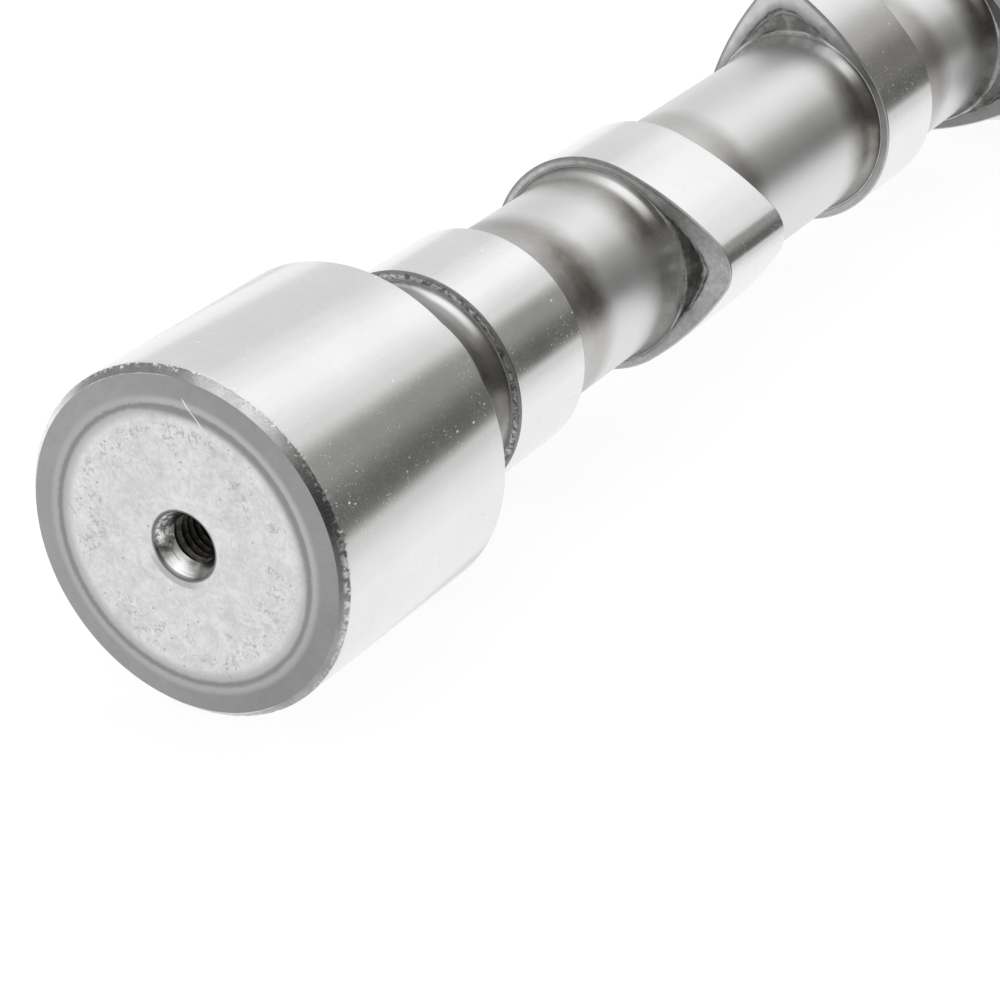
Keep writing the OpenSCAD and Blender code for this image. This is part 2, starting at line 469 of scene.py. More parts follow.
def all_rings():
    """Every ring of the shaft, from the point of the rear hole to the point of the front one."""
    mouth = hole(REAR_TAP_R, REAR_TAP_L, REAR_THREAD_R, REAR_THREAD_L, CENTRE_R, GUARD_R,
                 GUARD_L, RECESS_DEPTH, 1)
    first_recess = RECESS_R - RECESS_EDGE_W / 2
    rings = rounded(mouth + [(first_recess, RECESS_DEPTH, 0, "recess")])[:-1]
    rings += recess_edge()
    # The rear edge takes the place of the journal's first six rings
    rings += rear_edge()
    rings += journal(0, REAR_JOURNAL_W)[6:]
    rings += fillet(REAR_JOURNAL_W, 1, "neck")
    for i, (middle, nose) in enumerate(LOBES):
        rings += lobe(middle, nose, LOBE_SEED * i)
        if i + 1 == len(LOBES) // 2:
            rings += fillet(MIDDLE_JOURNAL_S, -1, "neck")
            rings += journal(MIDDLE_JOURNAL_S, MIDDLE_JOURNAL_W)
            rings += fillet(MIDDLE_JOURNAL_S + MIDDLE_JOURNAL_W, 1, "neck")
        elif i + 1 < len(LOBES):
            rings.append(steady(SHAFT_R, (middle + LOBES[i + 1][0]) / 2, "shaft"))
    rings += fillet(FRONT_JOURNAL_S, -1, "neck")
    rings += journal(FRONT_JOURNAL_S, FRONT_JOURNAL_W)
    rings += gear_end()
    return rings


def place(radius, station, angle):
    """A point on the shaft, in metres."""
    return Vector((radius * math.cos(angle), station + REAR_END_Y, radius * math.sin(angle))) * MM


def camshaft_steel():
    """The whole one-piece shaft: half its outline spun round, then each ring set in its place."""
    rings = all_rings()
    bm = bmesh.new()
    ring_of = bm.verts.layers.float.new("ring")
    to_lobe = bm.verts.layers.float.new("to_lobe")
    from_lobe = bm.verts.layers.float.new("from_lobe")
    nose_side = bm.verts.layers.float.new("nose_side")
    from_hollow = bm.verts.layers.float.new("from_hollow")
    to_outline = bm.verts.layers.float.new("to_outline")
    line = []
    for i, ring in enumerate(rings):
        vert = bm.verts.new(place(*ring[0](0.0), 0.0))
        vert[ring_of] = i
        line.append(vert)
    edges = [bm.edges.new(pair) for pair in zip(line, line[1:])]
    bmesh.ops.spin(bm, geom=line + edges, cent=(0, 0, 0), axis=(0, 1, 0), dvec=(0, 0, 0),
                   angle=2 * math.pi, steps=COLUMNS, use_merge=True, use_duplicate=False)
    poles = [vert for vert in bm.verts if vert[ring_of] in (0, len(rings) - 1)]
    bmesh.ops.remove_doubles(bm, verts=poles, dist=1e-6)

    # The worn rear edge, whose rings are the nicked ones, gets finer columns than the rest
    worn = [i for i, ring in enumerate(rings) if ring[0].__name__ == "runs"]
    worn = range(min(worn) - 1, max(worn) + 1)
    arcs = [edge for edge in bm.edges
            if edge.verts[0][ring_of] == edge.verts[1][ring_of] and edge.verts[0][ring_of] in worn]
    bmesh.ops.subdivide_edges(bm, edges=arcs, cuts=FINE_CUTS, use_grid_fill=True)
    for vert in bm.verts:
        angle = math.atan2(vert.co.z, vert.co.x)
        radius, station = rings[round(vert[ring_of])][0](angle)
        vert.co = place(radius, station, angle)
        vert[to_lobe], nose = next_lobe(station)
        vert[from_lobe] = last_lobe(station)
        vert[nose_side] = math.cos(angle - nose)
        vert[from_hollow], vert[to_outline] = rim_place(radius, station, angle)
    for face in bm.faces:
        face.smooth = True
        first_ring = round(min(vert[ring_of] for vert in face.verts))
        face.material_index = FINISHES.index(rings[first_ring][1])
    mesh = finished_mesh(bm, "camshaft_steel")
    mesh.set_sharp_from_angle(angle=SHARP_EDGE)
    return add_object("camshaft_steel", mesh)


def add_object(name, data):
    """Puts a mesh, lamp or camera into the scene."""
    made = bpy.data.objects.new(name, data)
    bpy.context.scene.collection.objects.link(made)
    return made


def finished_mesh(bm, name):
    """Turns a bmesh into a mesh whose faces point outwards."""
    bmesh.ops.recalc_face_normals(bm, faces=bm.faces[:])
    mesh = bpy.data.meshes.new(name)
    bm.to_mesh(mesh)
    bm.free()
    return mesh


def cut_keyway(steel):
    """Cuts the round-ended keyway into the gear seat, on the side of the first inlet nose."""
    bm = bmesh.new()
    bmesh.ops.create_circle(bm, cap_ends=True, segments=32, radius=KEY_W / 2)
    # The circle's two halves are drawn apart to the keyway's length
    for vert in bm.verts:
        vert.co.y += math.copysign((KEY_L - KEY_W) / 2, vert.co.y - 0.01)
    raised = bmesh.ops.extrude_face_region(bm, geom=bm.faces[:])["geom"]
    top = [item for item in raised if isinstance(item, bmesh.types.BMVert)]
    bmesh.ops.translate(bm, verts=top, vec=(0, 0, 2 * KEY_H))
    middle = GEAR_S + (LENGTH - GEAR_END_EDGE - GEAR_S) / 2
    turn = inlet_angle(CYLINDERS - 1)
    out = Vector((math.cos(turn), 0, math.sin(turn)))
    side = Vector((0, 1, 0)).cross(out)
    foot = out * (GEAR_R - KEY_H) + Vector((0, middle + REAR_END_Y, 0))
    for vert in bm.verts:
        vert.co = (foot + side * vert.co.x + Vector((0, vert.co.y, 0)) + out * vert.co.z) * MM
    for face in bm.faces:
        face.material_index = FINISHES.index("key")
    cutter = add_object("keyway_cutter", finished_mesh(bm, "keyway_cutter"))
    cut = steel.modifiers.new("keyway", "BOOLEAN")
    cut.object = cutter
    cut.solver = "EXACT"
    whole = steel.evaluated_get(bpy.context.evaluated_depsgraph_get())
    steel.data = bpy.data.meshes.new_from_object(whole)
    steel.modifiers.clear()
    bpy.data.objects.remove(cutter)


def thread_ridge(name, root_r, crest_r, pitch, low, high):
    """Right-hand thread of a tapped hole, as a closed helical ridge between two stations."""
    bm = bmesh.new()
    foot_r = root_r + THREAD_SUNK
    corners = ((foot_r, RIDGE_FOOT), (crest_r, RIDGE_CREST),
               (crest_r, -RIDGE_CREST), (foot_r, -RIDGE_FOOT))
    line = [bm.verts.new(place(radius, low + along * pitch, 0.0)) for radius, along in corners]
    edges = [bm.edges.new((line[i - 1], line[i])) for i in range(4)]
    steps = round((high - low) / pitch * THREAD_STEPS)
    bmesh.ops.spin(bm, geom=line + edges, cent=(0, 0, 0), axis=(0, 1, 0),
                   dvec=(0, pitch * MM / THREAD_STEPS, 0), angle=2 * math.pi * steps / THREAD_STEPS,
                   steps=steps, use_merge=False, use_duplicate=False)
    bmesh.ops.holes_fill(bm, edges=[edge for edge in bm.edges if edge.is_boundary], sides=0)
    for face in bm.faces:
        face.smooth = True
    mesh = finished_mesh(bm, name)
    mesh.set_sharp_from_angle(angle=math.radians(30))
    return add_object(name, mesh)


# Nodes

class Wiring:
    """Adds nodes to a tree and joins them.

    An input is a number, a colour, a vector or another node's output.
    """

    def __init__(self, tree):
        self.tree = tree

    def join(self, value, socket):
        if isinstance(value, bpy.types.NodeSocket):
            self.tree.links.new(value, socket)
        else:
            socket.default_value = value

    def add(self, kind, inputs, output=0, **settings):
        node = self.tree.nodes.new("ShaderNode" + kind)
        for key, value in settings.items():
            setattr(node, key, value)
        for key, value in inputs.items():
            self.join(value, node.inputs[key])
        return node.outputs[output]

    def maths(self, operation, *values, clamp=False):
        return self.add("Math", dict(enumerate(values)), operation=operation, use_clamp=clamp)

    def vectors(self, operation, *values):
        return self.add("VectorMath", dict(enumerate(values)), operation=operation)

    def fade(self, value, low, high, start=0.0, end=1.0):
        """Goes smoothly from start to end while the value goes from low to high."""
        inputs = {"Value": value, "From Min": low, "From Max": high, "To Min": start, "To Max": end}
        return self.add("MapRange", inputs, interpolation_type="SMOOTHSTEP")

    def between(self, value, rise, full, fall, end):
        """0 below rise, 1 from full to fall, 0 above end, and smooth between them."""
        return self.times(self.fade(value, rise, full), self.fade(value, end, fall))

    def waver(self, mask, size):
        """A mask from 0 to 1 as a drift of this size about zero."""
        return self.times(self.maths("SUBTRACT", mask, 0.5), size)

    def steps(self, value, start, *changes):
        """A start, and what each (from, to, change) adds as the value goes from one to the other."""
        rises = [self.fade(value, low, high, 0.0, change) for low, high, change in changes]
        return self.sum(start, *rises)

    def sum(self, *values):
        total = values[0]
        for value in values[1:]:
            total = self.maths("ADD", total, value)
        return total

    def times(self, *values):
        product = values[0]
        for value in values[1:]:
            product = self.maths("MULTIPLY", product, value)
        return product

    def either(self, *masks):
        """The strongest of some masks."""
        largest = masks[0]
        for mask in masks[1:]:
            largest = self.maths("MAXIMUM", largest, mask)
        return largest

    def noise(self, place, scale, detail, roughness=0.5):
        inputs = {"Vector": place, "Scale": scale, "Detail": detail, "Roughness": roughness}
        return self.add("TexNoise", inputs)

    def mix(self, share, first, second):
        """The first colour, or the second one where the share is 1."""
        return self.add("Mix", {0: share, 6: first, 7: second}, output=2, data_type="RGBA")

    def effect(self, tree, output=0, **inputs):
        """Places a shared group with its own values."""
        node = self.tree.nodes.new("ShaderNodeGroup")
        node.node_tree = tree
        for key, value in inputs.items():
            self.join(value, node.inputs[key])
        return node.outputs[output]

    def at(self, measure):
        """Radius, Station, Angle, Out or Place of the point on the shaft."""
        return self.effect(place_tree, output=measure)

    def stored(self, name):
        """A value that the steel's mesh carries at its vertices."""
        return self.add("Attribute", {}, output="Fac", attribute_name=name)

    def even_grey(self, tone):
        """Grey colour of a tone that changes over the surface."""
        return self.add("CombineColor", {0: tone, 1: tone, 2: tone})


def grey(value, warm=0.0):
    """A steel grey. Warm steel is a little browner."""
    return (value * (1 + 0.5 * warm), value, value * (1 - warm), 1.0)


def shared_group(name, inputs, outputs):
    """A node group with float inputs and their plain values, and outputs of the given kinds."""
    tree = bpy.data.node_groups.new(name, "ShaderNodeTree")
    for label, value in inputs.items():
        socket = tree.interface.new_socket(name=label, in_out="INPUT", socket_type="NodeSocketFloat")
        socket.default_value = value
    for label, kind in outputs.items():
        tree.interface.new_socket(name=label, in_out="OUTPUT", socket_type="NodeSocket" + kind)
    given = tree.nodes.new("NodeGroupInput").outputs
    result = tree.nodes.new("NodeGroupOutput").inputs
    return tree, Wiring(tree), given, result


def shaft_place_group():
    """Where a point lies on the shaft: radius, station, angle, way out from the axis, and place."""
    outputs = {"Radius": "Float", "Station": "Float", "Angle": "Float", "Out": "Vector",
               "Place": "Vector"}
    tree, wires, given, result = shared_group("shaft_place", {}, outputs)
    metres = wires.add("TexCoord", {}, output="Object")
    place = wires.vectors("MULTIPLY", metres, (1 / MM, 1 / MM, 1 / MM))
    flat = wires.vectors("MULTIPLY", place, (1.0, 0.0, 1.0))
    parts = wires.tree.nodes.new("ShaderNodeSeparateXYZ")
    wires.join(place, parts.inputs[0])
    wires.join(wires.add("VectorMath", {0: flat}, output="Value", operation="LENGTH"), result["Radius"])
    wires.join(wires.maths("SUBTRACT", parts.outputs["Y"], REAR_END_Y), result["Station"])
    turn = wires.maths("ARCTAN2", parts.outputs["Z"], parts.outputs["X"])
    wires.join(wires.maths("DEGREES", turn), result["Angle"])
    wires.join(wires.vectors("NORMALIZE", flat), result["Out"])
    wires.join(place, result["Place"])
    return tree


place_tree = shaft_place_group()


def machining_lines_group():
    """Fine lines that run round the axis, as a grinding wheel or a lathe tool leaves them."""
    inputs = {"Around": 2.0, "Along": 8.0, "Outward": 0.0, "Detail": 2.0}
    tree, wires, given, result = shared_group("machining_lines", inputs, {"Lines": "Float"})
    out = wires.add("VectorMath", {0: wires.at("Out")}, operation="SCALE")
    wires.join(given["Around"], out.node.inputs["Scale"])
    along = wires.times(wires.at("Station"), given["Along"])
    outward = wires.times(wires.at("Radius"), given["Outward"])
    across = wires.add("CombineXYZ", {"Y": wires.sum(along, outward)})
    pattern = wires.noise(wires.vectors("ADD", out, across), 1.0, given["Detail"], 0.6)
    wires.join(pattern, result["Lines"])
    return tree


def clouds_group():
    """Soft uneven tone. Size is that of one cloud in mm, and Warp makes it streaky."""
    inputs = {"Size": 10.0, "Detail": 3.0, "Low": 0.35, "High": 0.65, "Warp": 0.0}
    tree, wires, given, result = shared_group("clouds", inputs, {"Cloud": "Float"})
    place = wires.at("Place")
    noise = wires.noise(place, wires.maths("DIVIDE", 1.0, given["Size"]), given["Detail"], 0.55)
    wires.join(given["Warp"], noise.node.inputs["Distortion"])
    wires.join(wires.fade(noise, given["Low"], given["High"]), result["Cloud"])
    return tree


def specks_group():
    """Scattered small spots. Size is the largest spot's, Apart the distance of their places, in mm."""
    inputs = {"Size": 0.4, "Apart": 1.0, "Share": 1.0, "Stretch": 1.0}
    tree, wires, given, result = shared_group("specks", inputs, {"Mask": "Float"})
    place = wires.at("Place")
    stretch = wires.add("CombineXYZ", {"X": 1.0, "Y": given["Stretch"], "Z": 1.0})
    stretched = wires.vectors("MULTIPLY", place, stretch)
    scale = wires.maths("DIVIDE", 1.0, given["Apart"])
    spot = wires.add("TexVoronoi", {"Vector": stretched, "Scale": scale}, output="Distance")
    chance = wires.add("SeparateColor", {0: spot.node.outputs["Color"]})
    largest = wires.maths("DIVIDE", given["Size"], given["Apart"])
    reach = wires.times(largest, wires.fade(chance.node.outputs["Green"], 0, 1, 0.2, 0.5))
    inside = wires.fade(spot, wires.times(reach, 0.65), reach, 1.0, 0.0)
    chosen = wires.maths("LESS_THAN", chance, given["Share"])
    wires.join(wires.times(inside, chosen), result["Mask"])
    return tree


def scratches_group():
    """Fine straight scratches. Turn is their slant in degrees, Length and Gap are in mm."""
    inputs = {"Turn": 0.0, "Length": 12.0, "Gap": 1.5, "Width": 0.03, "Seed": 0.0}
    tree, wires, given, result = shared_group("scratches", inputs, {"Mask": "Float"})
    place = wires.at("Place")
    turn = wires.maths("RADIANS", given["Turn"])
    turned = wires.add("VectorRotate", {"Vector": place, "Angle": turn}, rotation_type="Y_AXIS")
    scale = wires.add("CombineXYZ", {"X": wires.maths("DIVIDE", 1.0, given["Gap"]), "Y": 0.1,
                                     "Z": wires.maths("DIVIDE", 1.0, given["Length"])})
    grid = wires.vectors("ADD", wires.vectors("MULTIPLY", turned, scale),
                         wires.add("CombineXYZ", {"Y": given["Seed"]}))
    wave = wires.maths("ABSOLUTE", wires.maths("SUBTRACT", wires.noise(grid, 1.0, 0.0), 0.5))
    line = wires.fade(wave, 0.0, given["Width"], 1.0, 0.0)
    broken = wires.fade(wires.noise(grid, 1.7, 1.0), 0.5, 0.62)
    wires.join(wires.times(line, broken), result["Mask"])
    return tree


lines_tree = machining_lines_group()
clouds_tree = clouds_group()
specks_tree = specks_group()
scratches_tree = scratches_group()
started = {}


def finished_steel(name, colour, roughness, heights, lint=None):
    """Sets up a steel material. Heights are (value, what it is worth in mm). Lint is not metal."""
    material, wires = started[name]
    shader = material.node_tree.nodes["Principled BSDF"]
    wires.join(colour, shader.inputs["Base Color"])
    wires.join(roughness, shader.inputs["Roughness"])
    if lint is None:
        shader.inputs["Metallic"].default_value = 1.0
    else:
        wires.join(wires.maths("SUBTRACT", 1.0, lint), shader.inputs["Metallic"])
    normal = None
    for value, worth in heights:
        inputs = {"Height": value, "Distance": worth * MM}
        if normal is not None:
            inputs["Normal"] = normal
        normal = wires.add("Bump", inputs)
    wires.join(normal, shader.inputs["Normal"])
    return material


def start(name):
    """Starts a material, and gives the wiring of its nodes."""
    material = bpy.data.materials.new(name)
    material.use_nodes = True
    started[name] = (material, Wiring(material.node_tree))
    return started[name][1]


def dust(wires):
    """Dry dust that lies on the steel: a thin haze, many faint grains and a few larger flecks."""
    grains = wires.effect(specks_tree, Size=0.3, Apart=0.62, Share=0.85)
    flecks = wires.effect(specks_tree, Size=0.5, Apart=1.5, Share=0.5, Stretch=0.7)
    where = wires.effect(clouds_tree, Size=8.0, Detail=3.0, Low=0.3, High=0.56)
    haze = wires.effect(clouds_tree, Size=0.4, Detail=4.0, Low=0.48, High=0.75)
    lying = wires.either(wires.times(grains, 0.42), wires.times(flecks, 0.65), wires.times(haze, 0.12))
    return wires.times(lying, where)


def ground_steel(name, tone, along, smoothness=0.13, band_shade=0.0):
    """Ground and polished steel of the journals, seats and cams.

    A share of painted shade, a little brown, can darken the upper right side from the third cam on.
    """
    wires = start(name)
    angle = wires.at("Angle")
    station = wires.at("Station")
    fine = wires.effect(lines_tree, Around=2.5, Along=along, Detail=3.0)
    broad = wires.effect(lines_tree, Around=1.0, Along=0.45, Detail=2.0)
    cloud = wires.effect(clouds_tree, Size=16.0, Detail=4.0, Low=0.3, High=0.7)
    haze = wires.effect(clouds_tree, Size=0.7, Detail=4.0, Low=0.25, High=0.75)
    lint = dust(wires)
    shade = wires.sum(wires.times(fine, 0.35), wires.times(broad, 0.2), wires.times(cloud, 0.3),
                      wires.times(haze, 0.15))
    plain_metal = wires.mix(shade, grey(tone - 0.08), grey(tone + 0.05))
    # Painted shade on the upper right of the cams from the third on
    painted_shade = wires.times(wires.fade(station, 150, 180), wires.between(angle, 20, 38, 60, 80), band_shade)
    metal = wires.mix(painted_shade, plain_metal, grey(0.2, 0.12))
    colour = wires.mix(lint, metal, grey(0.92))
    smooth = wires.sum(smoothness, wires.times(fine, 0.05), wires.times(cloud, 0.04))
    rough = wires.either(smooth, wires.times(lint, 0.9))
    return finished_steel(name, colour, rough, [(fine, 0.0006), (broad, 0.001)], lint)


def satin_steel(name):
    """Brushed satin steel of the shaft.

    Painted shade, a little brown, darkens it beside each lobe, and the sweep up to a lobe has a painted
    highlight.
    """
    wires = start(name)
    angle = wires.at("Angle")
    station = wires.at("Station")
    to_lobe = wires.stored("to_lobe")
    from_lobe = wires.stored("from_lobe")
    grain = wires.effect(clouds_tree, Size=0.35, Detail=2.0, Low=0.2, High=0.8)
    lines = wires.effect(lines_tree, Around=5.0, Along=1.6, Detail=4.0)
    cloud = wires.effect(clouds_tree, Size=9.0, Detail=3.0, Low=0.25, High=0.75)
    shade = wires.sum(wires.times(cloud, 0.4), wires.times(lines, 0.35), wires.times(grain, 0.25))
    metal = wires.mix(shade, grey(0.70), grey(0.77))
    waver = wires.waver(cloud, 1.4)

    # Painted shade with a brown tint: strongest on the upper right side, weak under the shaft and towards
    # a nose
    patches = wires.effect(clouds_tree, Size=2.0, Detail=5.0, Low=0.3, High=0.7, Warp=0.4)
    lower = wires.sum(angle, wires.fade(station, 58, 54, 0.0, 24.0),
                      wires.fade(station, 98, 106, 0.0, 12.0), wires.fade(station, 150, 165, 0.0, 12.0))
    shade_strength = wires.times(wires.fade(lower, 2, 20, 0.47, 1.0), wires.fade(angle, 52, 80, 1.0, 0.6),
                        wires.fade(angle, 120, 175, 1.0, 0.78),
                        wires.sum(0.93, wires.times(patches, 0.12)))
    third = wires.between(station, 160, 172, 200, 215)
    # Painted shade at the foot of each lobe's rear side and ahead of its front side
    foot = wires.times(wires.fade(wires.sum(to_lobe, waver), 12.5, 3.5, 0.0, 0.9),
                       wires.fade(wires.stored("nose_side"), 0.86, 0.99, 1.0, 0.25),
                       wires.sum(1.0, wires.times(third, wires.fade(angle, 45, 70), -0.7)))
    ahead = wires.times(wires.fade(wires.sum(from_lobe, waver), 15.0, 9.2, 0.0, 0.9),
                        wires.fade(from_lobe, 4.0, 8.5, 0.75, 1.0),
                        wires.fade(station, 90, 115, 1.0, 0.6))
    painted_shade = wires.times(wires.either(foot, ahead), shade_strength)
    shaded_metal = wires.mix(painted_shade, metal, grey(0.13, 0.2))

    # Painted highlight on the upper side of the sweep, at the second lobe a little farther from it
    near = wires.maths("MINIMUM", to_lobe, from_lobe)
    second = wires.times(wires.between(station, 92, 100, 150, 165), 0.5)
    sweep_highlight = wires.times(wires.fade(near, wires.sum(0.15, second), wires.sum(0.8, second)),
                         wires.fade(near, 3.5, 1.9))
    top = wires.times(wires.fade(angle, 70, 92), wires.between(station, 90, 100, 150, 165))
    highlight_side = wires.times(wires.fade(angle, 34, 58, 0.12, 1.0), wires.fade(angle, 140, 175, 1.0, 0.12),
                         wires.sum(1.0, wires.times(top, -0.6)))
    highlight_grey = wires.mix(third, grey(0.84), grey(0.96))
    colour = wires.mix(wires.times(sweep_highlight, highlight_side), shaded_metal, highlight_grey)

    # Painted shade on the neck between the rear journal and the first lobe, up to the foot of its sweep
    neck_end = wires.sum(station, wires.fade(angle, 74, 92, 0.0, -0.7))
    journal_shade = wires.times(wires.fade(neck_end, 55.4, 54.5), wires.fade(angle, 38, 50),
                             wires.fade(station, 41, 44), 0.8)
    under_shade = wires.times(wires.fade(station, 57.5, 56.5), wires.between(angle, -24, -3, 4, 14), 0.5)
    colour = wires.mix(wires.either(journal_shade, under_shade), colour, grey(0.22, 0.02))
    rough = wires.sum(0.30, wires.times(cloud, 0.04), wires.times(grain, 0.05),
                      wires.times(sweep_highlight, -0.1))
    smoothed = wires.sum(1.0, wires.times(sweep_highlight, -0.8))
    return finished_steel(name, colour, rough, [(wires.times(grain, smoothed), 0.004), (lines, 0.002)])


def forged(wires, dark, light, low, high):
    """Colour, roughness and heights of rough forged steel."""
    lumps = wires.effect(clouds_tree, Size=1.1, Detail=4.0, Low=0.2, High=0.8)
    cloud = wires.effect(clouds_tree, Size=2.2, Detail=5.0, Low=low, High=high)
    pits = wires.effect(specks_tree, Size=0.5, Apart=0.9, Share=0.8)
    rough = wires.sum(0.45, wires.times(lumps, 0.15))
    return wires.mix(cloud, dark, light), rough, [(lumps, 0.10), (pits, -0.05)]


def hollow_steel(name):
    """Forged floor of the hollows, lighter in the groove by the sweep and from the third lobe on."""
    wires = start(name)
    radius = wires.at("Radius")
    lighter_from_third = wires.fade(wires.at("Station"), *TO_THIRD)
    dark = wires.mix(lighter_from_third, grey(0.07, 0.04), grey(0.19, 0.03))
    light = wires.mix(lighter_from_third, grey(0.14, 0.03), grey(0.33, 0.02))
    colour, rough, heights = forged(wires, dark, light, 0.4, 0.65)
    groove = wires.fade(radius, CREST_R + 0.6, CREST_R + 0.1)
    plain_metal = wires.mix(lighter_from_third, grey(0.5), grey(0.72))
    return finished_steel(name, wires.mix(groove, colour, plain_metal), rough, heights)


def hollow_wall_steel(name):
    """Ragged wall between a hollow and the rim round it. It is plainer from the third lobe on."""
    wires = start(name)
    plainer = wires.fade(wires.at("Station"), *TO_THIRD)
    dark = wires.mix(plainer, grey(0.24, 0.03), grey(0.24, 0.02))
    light = wires.mix(plainer, grey(0.58, 0.02), grey(0.36, 0.02))
    return finished_steel(name, *forged(wires, dark, light, 0.42, 0.6))


def rim_steel(name):
    """Ground sides of the lobes, darker beside the hollow and along the outline.

    The first lobe's are mottled, and those of the later ones carry painted shade below and across the
    upper right.
    """
    wires = start(name)
    angle = wires.at("Angle")
    station = wires.at("Station")
    first = wires.fade(station, *PAST_FIRST, 1.0, 0.0)
    third = wires.fade(station, *TO_THIRD)
    fourth = wires.fade(station, *TO_FOURTH)
    lines = wires.effect(lines_tree, Around=5.0, Outward=2.0, Detail=3.0)
    cloud = wires.effect(clouds_tree, Size=2.0, Detail=5.0, Low=0.3, High=0.7)
    granules = wires.effect(clouds_tree, Size=0.75, Detail=3.0, Low=0.4, High=0.6, Warp=0.5)
    shade = wires.sum(wires.times(lines, 0.4), wires.times(cloud, 0.6))
    dark = wires.mix(third, grey(0.48), grey(0.55))
    light = wires.mix(third, grey(0.64), grey(0.68))
    # Painted shade across the upper right of the rims from the third lobe on
    shaded = wires.times(third, wires.between(angle, 26, 42, 60, 76), 0.65)
    calm = wires.mix(shaded, wires.mix(shade, dark, light), grey(0.3))
    mottled = wires.sum(wires.times(first, 0.86), wires.fade(third, 0, 1, 0.14, 0.0))
    metal = wires.mix(mottled, calm, wires.mix(granules, grey(0.26), grey(0.95)))

    # Dark beside the hollow, and in a broader strip from the third lobe on
    from_hollow = wires.sum(wires.stored("from_hollow"), wires.waver(cloud, 0.3))
    inner = wires.fade(from_hollow, wires.fade(third, 0, 1, 0.7, 1.9), 0.0)
    lower = wires.times(wires.fade(first, 0, 1, 1.0, 0.0), wires.fade(angle, 45, 18))
    inner_share = wires.times(wires.sum(0.4, wires.times(third, 0.5)),
                              wires.sum(1.0, wires.times(lower, third, -0.8)))
    colour = wires.mix(wires.times(inner, inner_share), metal, grey(0.28))

    # Dark along the outline, least on the lower side
    outer = wires.fade(wires.stored("to_outline"), 0.75, 0.45, 0.0, 1.0)
    outer_share = wires.sum(0.6, wires.times(lower, -0.45))
    colour = wires.mix(wires.times(outer, outer_share), colour, grey(0.2))
    # Painted shade on the lower side of the rims from the second lobe on, and on the fourth lobe's lower
    # right
    side_shade = wires.times(wires.fade(station, 95, 105), wires.fade(angle, 8, -12),
                       wires.fade(station, *TO_FOURTH, 0.28, 0.8))
    side_shade = wires.either(side_shade, wires.times(fourth, wires.fade(angle, 70, 20), 0.7))
    colour = wires.mix(side_shade, colour, grey(0.16, 0.02))
    rough = wires.sum(0.36, wires.times(lines, 0.08))
    heights = [(lines, 0.003), (cloud, 0.01), (wires.times(granules, first), 0.03)]
    return finished_steel(name, colour, rough, heights)


def lobe_edge_steel(name):
    """Broken edge round the lobes' sides, dark, with painted light on the lower right of the later ones.
    """
    wires = start(name)
    angle = wires.at("Angle")
    station = wires.at("Station")
    lines = wires.effect(lines_tree, Around=3.0, Outward=3.0, Detail=3.0)
    cloud = wires.effect(clouds_tree, Size=1.2, Detail=4.0, Low=0.3, High=0.7)
    shade = wires.sum(wires.times(lines, 0.5), wires.times(cloud, 0.5))
    dark = wires.mix(shade, grey(0.2), grey(0.33))
    light = wires.mix(shade, grey(0.42), grey(0.56))
    # Painted light on the lower right of the edges from the second lobe on
    lower = wires.times(wires.fade(station, *PAST_FIRST), wires.fade(angle, 55, 25))
    rough = wires.sum(0.3, wires.times(lines, 0.08))
    return finished_steel(name, wires.mix(lower, dark, light), rough, [(lines, 0.003)])


def turned_steel(name, tone, spread, rough, outward, along=0.0):
    """Turned faces: lines round the axis, a little uneven tone and small pits."""
    wires = start(name)
    lines = wires.effect(lines_tree, Around=3.0, Outward=outward, Along=along, Detail=3.0)
    cloud = wires.effect(clouds_tree, Size=2.5, Detail=4.0, Low=0.3, High=0.7)
    pits = wires.effect(specks_tree, Size=0.4, Apart=0.9, Share=0.12)
    shade = wires.sum(wires.times(lines, 0.6), wires.times(cloud, 0.4))
    metal = wires.mix(shade, grey(tone - spread), grey(tone + spread))
    colour = wires.mix(wires.times(pits, 0.6), metal, grey(0.15))
    rough = wires.sum(rough, wires.times(lines, 0.08))
    return finished_steel(name, colour, rough, [(lines, 0.003), (pits, -0.02)])


def centre_steel(name):
    """Cone of the centre holes: cut lines, painted shade on the right side, a spotted left side, a dark
    mouth.
    """
    wires = start(name)
    radius = wires.at("Radius")
    angle = wires.at("Angle")
    lines = wires.effect(lines_tree, Around=1.2, Outward=5.0, Detail=3.0)
    spots = wires.effect(clouds_tree, Size=0.9, Detail=3.0, Low=0.42, High=0.58)
    cut = wires.mix(wires.fade(lines, 0.3, 0.52), grey(0.5, 0.02), grey(0.98))
    left = wires.either(wires.fade(angle, 100, 140), wires.fade(angle, -135, -155))
    colour = wires.mix(wires.times(left, spots, 0.8), cut, grey(0.16))
    # Painted shade on the right side of the cone, a little brown
    side_shade = wires.between(angle, -88, -66, 60, 100)
    colour = wires.mix(wires.times(side_shade, 0.8), colour, grey(0.13, 0.1))
    mouth = wires.fade(radius, CENTRE_R - 0.3, CENTRE_R - 0.12)
    colour = wires.mix(wires.times(mouth, 0.8), colour, grey(0.12, 0.05))
    return finished_steel(name, colour, wires.sum(0.2, wires.times(lines, 0.1)), [(lines, 0.012)])


